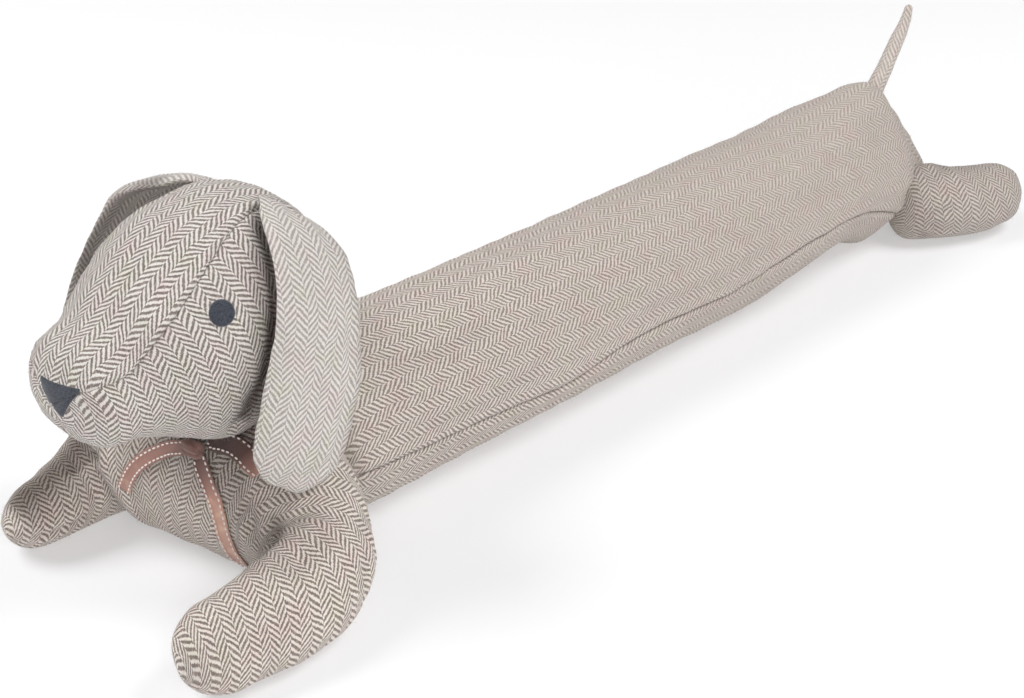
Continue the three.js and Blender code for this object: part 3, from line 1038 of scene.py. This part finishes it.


# y and z of the points from the knot outwards, width, how far the knot holds its start up, and the painted
# shade along it, as strip takes it
RIBBON_TAILS = {
    "near": ([(-19, 92), (-36, 70), (-43, 44), (-48, 15)], 12.6, 2.2,
             (0.95, 0.7, 0.1, -0.4, -0.4, 0.0, 0.25)),
    "far": ([(-13, 93), (9, 85), (29, 69), (43, 46)], 10.4, 2.0, (0.7, 0.5, 0.35, 0.15)),
}
LOOP_POINTS = [(-22, 99), (-42, 99), (-61, 92)]
LOOP_WIDTH = 1.1 * RIBBON_WIDTH
# painted shade along the loop, out and back: dark under the chin, lighter at the turn
LOOP_SHADE = (0.9, 1.0, 0.9, 0.0, 0.9, 0.9, 0.9)
LOOP_TURN = 2.2              # how far the loop's end bulges


def ribbon(surface):
    """The two tails and the loop, which goes out above and comes back below. Returns all their stitches."""
    stitches = []
    for name, (points, width, rise, shade_steps) in RIBBON_TAILS.items():
        path, sideways, wide = spread(surface, points, width, lambda t: 1.0 + rise * (1 - t) ** 2)
        stitches += strip(f"ribbon_tail_{name}_satin", path, sideways, wide, f"ribbon_tail_{name}", shade_steps)
    out, sideways, wide = spread(surface, LOOP_POINTS, LOOP_WIDTH,
                                 lambda t: 3.0 + 3.0 * math.sin(math.pi * min(1, t * 1.2)))
    back, _, _ = spread(surface, LOOP_POINTS, LOOP_WIDTH, lambda t: 0.8)
    turn = []
    middle, half = (out[-1] + back[-1]) / 2, (out[-1] - back[-1]) / 2
    onward = unit(out[-1] - out[-2])
    for a in np.linspace(0, math.pi, 12)[1:-1]:
        turn.append(middle + half * math.cos(a) + onward * LOOP_TURN * math.sin(a))
    path = np.vstack([out, turn, back[::-1]])
    sideways = np.vstack([sideways, np.repeat(sideways[-1:], len(turn), axis=0), sideways[::-1]])
    wide = np.concatenate([wide, np.repeat(wide[-1:], len(turn)), wide[::-1]])
    return stitches + strip("ribbon_loop_satin", path, sideways, wide, "ribbon_loop", LOOP_SHADE)


KNOT_ROWS = [
    (-426, -25, 96, 6, 6.2),
    (-428, -17, 96, 5.2, 5.6),
    (-426, -9, 96, 6, 6.2),
]
KNOT_SHADE = 0.7


def knot():
    form = Loft(KNOT_ROWS, (4, 4), 40, (24, 24), two_faces)
    middle = KNOT_ROWS[1]

    def relief(p, s):
        turn = np.arctan2(p[:, 2] - middle[2], p[:, 0] - middle[0])
        return 0.45 * np.sin(turn * 5 + s * 0.25) + 0.3 * np.sin(turn * 9 + 1.0)

    form.displace(relief)
    form.shade[:] = KNOT_SHADE
    obj = form.mesh("ribbon_knot_satin", (grain(90), grain(90)))
    dress(obj, SATIN, "satin_ribbon", "ribbon_knot")


def sew(stitches):
    """Short slanting stitches of pale thread, as small closed beads."""
    verts, faces = [], []
    rings, sides = 5, 6
    for at, ahead, up in stitches:
        ahead, up = unit(ahead), unit(up)
        across = np.cross(ahead, up)
        start = len(verts)
        verts.append(at - ahead * STITCH_HALF)
        for n in range(1, rings):
            a = math.pi * n / rings
            middle = at - ahead * STITCH_HALF * math.cos(a)
            radius = STITCH_RADIUS * math.sin(a) ** 0.6
            for k in range(sides):
                b = 2 * math.pi * k / sides
                verts.append(middle + (across * math.cos(b) + up * math.sin(b)) * radius)
        verts.append(at + ahead * STITCH_HALF)
        last = len(verts) - 1
        for k in range(sides):
            n = (k + 1) % sides
            faces.append((start, start + 1 + n, start + 1 + k))
            for r in range(rings - 2):
                a, b = start + 1 + r * sides, start + 1 + (r + 1) * sides
                faces.append((a + k, a + n, b + n, b + k))
            a = start + 1 + (rings - 2) * sides
            faces.append((last, a + k, a + n))
    dress(build("ribbon_stitches", np.array(verts), faces), THREAD, "satin_ribbon")


# Loose fibres: short closed spikes that stand out of the tweed

FIBRES = {"body": 17000, "head": 7000, "front_legs": 8000, "ear": 2500, "hind_leg": 1800, "tail": 600}
FIBRE_RADIUS = 0.075
FIBRE_ROOT = 0.6             # how deep a fibre starts below the cloth
BARE_HEIGHT = 3              # below this height the cloth lies on the floor and has no fibres


def fuzz(objs):
    rng = np.random.default_rng(SEED)
    verts, faces = [], []
    for obj in objs:
        mesh = obj.data
        count = next(FIBRES[part] for part in FIBRES if obj.name.startswith(part))
        centre = np.array([p.center for p in mesh.polygons]) / MM + MIDDLE
        normal = np.array([p.normal for p in mesh.polygons])
        area = np.array([p.area for p in mesh.polygons])
        pick = rng.choice(len(area), count, p=area / area.sum())
        for n in pick:
            if centre[n][2] < BARE_HEIGHT:
                continue
            root = centre[n] + rng.normal(size=3) * 0.4
            direction = unit(normal[n] + rng.normal(size=3) * 0.55)
            side = unit(np.cross(direction, rng.normal(size=3)))
            other = np.cross(direction, side)
            length = rng.gamma(3.0, 0.5) + 0.5
            if root[2] + direction[2] * length < 0:
                continue
            start = len(verts)
            for k in range(3):
                b = 2 * math.pi * k / 3
                around = (side * math.cos(b) + other * math.sin(b)) * FIBRE_RADIUS
                verts.append(root - normal[n] * FIBRE_ROOT + around)
            verts.append(root + direction * length)
            faces += [(start, start + 2, start + 1), (start, start + 1, start + 3),
                      (start + 1, start + 2, start + 3), (start + 2, start, start + 3)]
    dress(build("loose_fibres", np.array(verts), faces), FUZZ, "herringbone_tweed")


# Stage: floor, light and camera

# in metres and watts
FLOOR_HALF = 6.0
FLOOR_LEVEL = -0.0004
FLOOR_COLOR = (0.59, 0.59, 0.60, 1)
FLOOR_GLOW = 0.37
SKY_LIGHT = 0.29
WHITE = (1.0, 1.0, 1.0, 1)
# name, place, power and diameter
LAMPS = (
    ("key", (1.1, -1.3, 2.2), 41, 1.5),
    ("back", (-1.3, 1.3, 1.9), 44, 1.6),
    ("low", (-1.2, -1.7, 0.7), 20, 1.6),
)


def stage():
    floor_mesh = bpy.data.meshes.new("floor")
    half, level = FLOOR_HALF, FLOOR_LEVEL
    corners = [(-half, -half, level), (half, -half, level), (half, half, level), (-half, half, level)]
    floor_mesh.from_pydata(corners, [], [(0, 1, 2, 3)])
    floor = add_object("floor", floor_mesh)
    paint = Nodes("floor_paint")
    paint.shader.inputs["Emission Color"].default_value = WHITE
    paint.shader.inputs["Emission Strength"].default_value = FLOOR_GLOW
    floor_mesh.materials.append(paint.finish(FLOOR_COLOR, 0.9))

    world = bpy.data.worlds.new("studio")
    world.use_nodes = True
    world.node_tree.nodes["Background"].inputs["Color"].default_value = WHITE
    world.node_tree.nodes["Background"].inputs["Strength"].default_value = SKY_LIGHT
    bpy.context.scene.world = world
    bpy.context.scene.view_settings.view_transform = "Standard"

    for name, at, power, size in LAMPS:
        light = bpy.data.lights.new(name, "AREA")
        light.energy = power
        light.shape = "DISK"
        light.size = size
        lamp = add_object(name, light)
        lamp.location = at
        lamp.rotation_euler = (-Vector(at)).to_track_quat("-Z", "Y").to_euler()

    camera_data = bpy.data.cameras.new("camera")
    camera_data.sensor_width = CAMERA_SENSOR
    camera_data.lens = CAMERA_LENS
    camera = add_object("camera", camera_data)
    a, e = math.radians(CAMERA_AZIMUTH), math.radians(CAMERA_ELEVATION)
    back = Vector((math.sin(a) * math.cos(e), -math.cos(a) * math.cos(e), math.sin(e)))
    camera.location = place(CAMERA_AT)
    camera.rotation_euler = (-back).to_track_quat("-Z", "Y").to_euler()
    bpy.context.scene.camera = camera


stage()
body_piece = body()
legs_piece = front_legs()
head_piece = head()
cloth = [body_piece, legs_piece, head_piece]
for side_name in SIDES:
    cloth.append(ear(side_name))
    cloth.append(hind_leg(side_name))
cloth.append(tail())
head_surface = Surface(head_piece)
for side_name in SIDES:
    eye(side_name, head_surface)
nose(head_surface)
sew(ribbon(Surface(legs_piece)))
knot()
fuzz(cloth)
